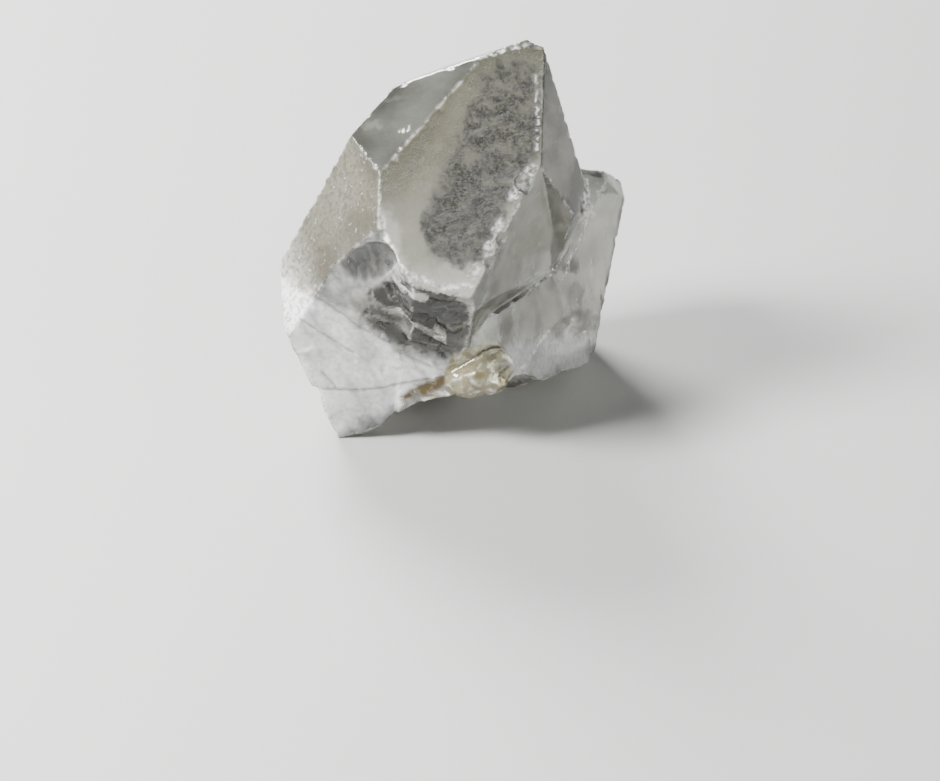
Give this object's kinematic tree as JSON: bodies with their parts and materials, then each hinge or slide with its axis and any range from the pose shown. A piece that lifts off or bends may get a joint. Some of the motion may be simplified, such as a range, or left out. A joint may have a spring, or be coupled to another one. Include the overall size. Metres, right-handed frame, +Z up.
{
  "type": "quartz crystal",
  "caption": "Clear to milky quartz crystal specimen: a stubby pointed crystal leaning over smaller intergrown ones, with worn edges, a stained lump and a broken base it stands on.",
  "frame": {"origin": "middle of the bounding box's footprint, on the surface that the broken base stands on", "axes": "+Z up, -Y the front that shows the large sloping end face, +X the right, towards which the crystal leans"},
  "size_m": [0.045, 0.0422, 0.0497],
  "materials": {
    "quartz": "clear to milky crystal with glossy faces, frosted broken parts and yellow-brown iron stain near the base"
  },
  "bodies": {
    "root": {"quartz_crystal": "quartz"}
  },
  "joints": []
}
